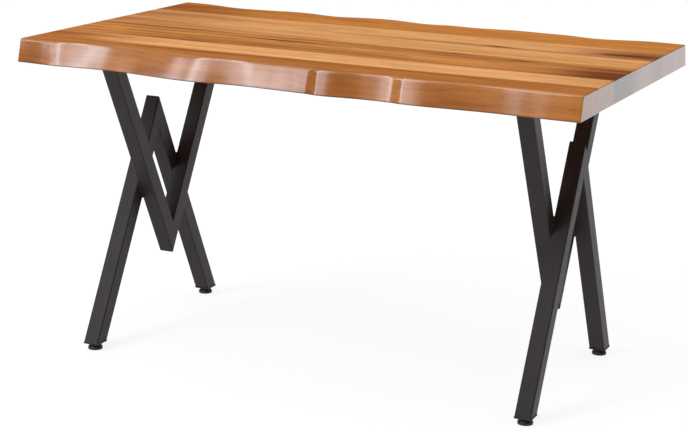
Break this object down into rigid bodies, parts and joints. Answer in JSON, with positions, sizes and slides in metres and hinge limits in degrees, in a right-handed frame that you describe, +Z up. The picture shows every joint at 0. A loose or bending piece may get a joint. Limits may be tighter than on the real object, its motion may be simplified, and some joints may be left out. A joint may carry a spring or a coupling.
{
  "type": "dining table",
  "caption": "Rectangular dining table: live-edge hardwood boards glued edge to edge on crossed V frames of black square tube, with levelling feet that screw in and out.",
  "frame": {"origin": "on the floor, midway between the four feet", "axes": "+X along the top, +Y from the front edge to the rear edge, +Z up"},
  "size_m": [1.4, 0.8791, 0.78],
  "materials": {
    "live_edge_hardwood": "clear gloss varnish",
    "pale_hardwood": "clear gloss varnish",
    "dark_hardwood": "clear gloss varnish",
    "black_powder_coat": "satin powder coat",
    "zinc_plated_steel": "zinc plating",
    "black_nylon": "moulded, fine matt"
  },
  "bodies": {
    "table": {"front_live_edge_board": "live_edge_hardwood", "front_inner_board": "pale_hardwood", "front_centre_board": "dark_hardwood", "rear_centre_board": "pale_hardwood", "rear_inner_board": "pale_hardwood", "rear_live_edge_board": "live_edge_hardwood", "left_mounting_bolts": "zinc_plated_steel", "left_threaded_inserts": "zinc_plated_steel", "left_foot_nuts": "zinc_plated_steel", "left_v_front_tube": "black_powder_coat", "left_inverted_v_front_tube": "black_powder_coat", "left_front_mounting_plate": "black_powder_coat", "left_front_tube_plug": "black_nylon", "left_v_rear_tube": "black_powder_coat", "left_inverted_v_rear_tube": "black_powder_coat", "left_rear_mounting_plate": "black_powder_coat", "left_rear_tube_plug": "black_nylon", "right_mounting_bolts": "zinc_plated_steel", "right_threaded_inserts": "zinc_plated_steel", "right_foot_nuts": "zinc_plated_steel", "right_v_front_tube": "black_powder_coat", "right_inverted_v_front_tube": "black_powder_coat", "right_front_mounting_plate": "black_powder_coat", "right_front_tube_plug": "black_nylon", "right_v_rear_tube": "black_powder_coat", "right_inverted_v_rear_tube": "black_powder_coat", "right_rear_mounting_plate": "black_powder_coat", "right_rear_tube_plug": "black_nylon"},
    "left_front_pad": {"left_front_foot_pad": "black_nylon"},
    "left_front_stud": {"left_front_foot_stud": "zinc_plated_steel"},
    "left_rear_pad": {"left_rear_foot_pad": "black_nylon"},
    "left_rear_stud": {"left_rear_foot_stud": "zinc_plated_steel"},
    "right_front_pad": {"right_front_foot_pad": "black_nylon"},
    "right_front_stud": {"right_front_foot_stud": "zinc_plated_steel"},
    "right_rear_pad": {"right_rear_foot_pad": "black_nylon"},
    "right_rear_stud": {"right_rear_foot_stud": "zinc_plated_steel"}
  },
  "joints": [
    {"name": "left_front_foot_level", "type": "slide", "parent": "table", "child": "left_front_pad", "axis": [0, 0, -1], "range_m": [0, 0.0125]},
    {"name": "left_front_stud_turn", "type": "hinge", "parent": "left_front_pad", "child": "left_front_stud", "pos_m": [-0.565, -0.28385, 0.012], "axis": [0, 0, -1], "range_deg": [0, 3780]},
    {"name": "left_rear_foot_level", "type": "slide", "parent": "table", "child": "left_rear_pad", "axis": [0, 0, -1], "range_m": [0, 0.0125]},
    {"name": "left_rear_stud_turn", "type": "hinge", "parent": "left_rear_pad", "child": "left_rear_stud", "pos_m": [-0.565, 0.28385, 0.012], "axis": [0, 0, -1], "range_deg": [0, 3780]},
    {"name": "right_front_foot_level", "type": "slide", "parent": "table", "child": "right_front_pad", "axis": [0, 0, -1], "range_m": [0, 0.0125]},
    {"name": "right_front_stud_turn", "type": "hinge", "parent": "right_front_pad", "child": "right_front_stud", "pos_m": [0.565, -0.28385, 0.012], "axis": [0, 0, -1], "range_deg": [0, 3780]},
    {"name": "right_rear_foot_level", "type": "slide", "parent": "table", "child": "right_rear_pad", "axis": [0, 0, -1], "range_m": [0, 0.0125]},
    {"name": "right_rear_stud_turn", "type": "hinge", "parent": "right_rear_pad", "child": "right_rear_stud", "pos_m": [0.565, 0.28385, 0.012], "axis": [0, 0, -1], "range_deg": [0, 3780]}
  ],
  "couplings": [
    {"joint": "left_front_stud_turn", "follows": "left_front_foot_level", "rad_per_m": 5026.5},
    {"joint": "left_rear_stud_turn", "follows": "left_rear_foot_level", "rad_per_m": 5026.5},
    {"joint": "right_front_stud_turn", "follows": "right_front_foot_level", "rad_per_m": 5026.5},
    {"joint": "right_rear_stud_turn", "follows": "right_rear_foot_level", "rad_per_m": 5026.5}
  ]
}
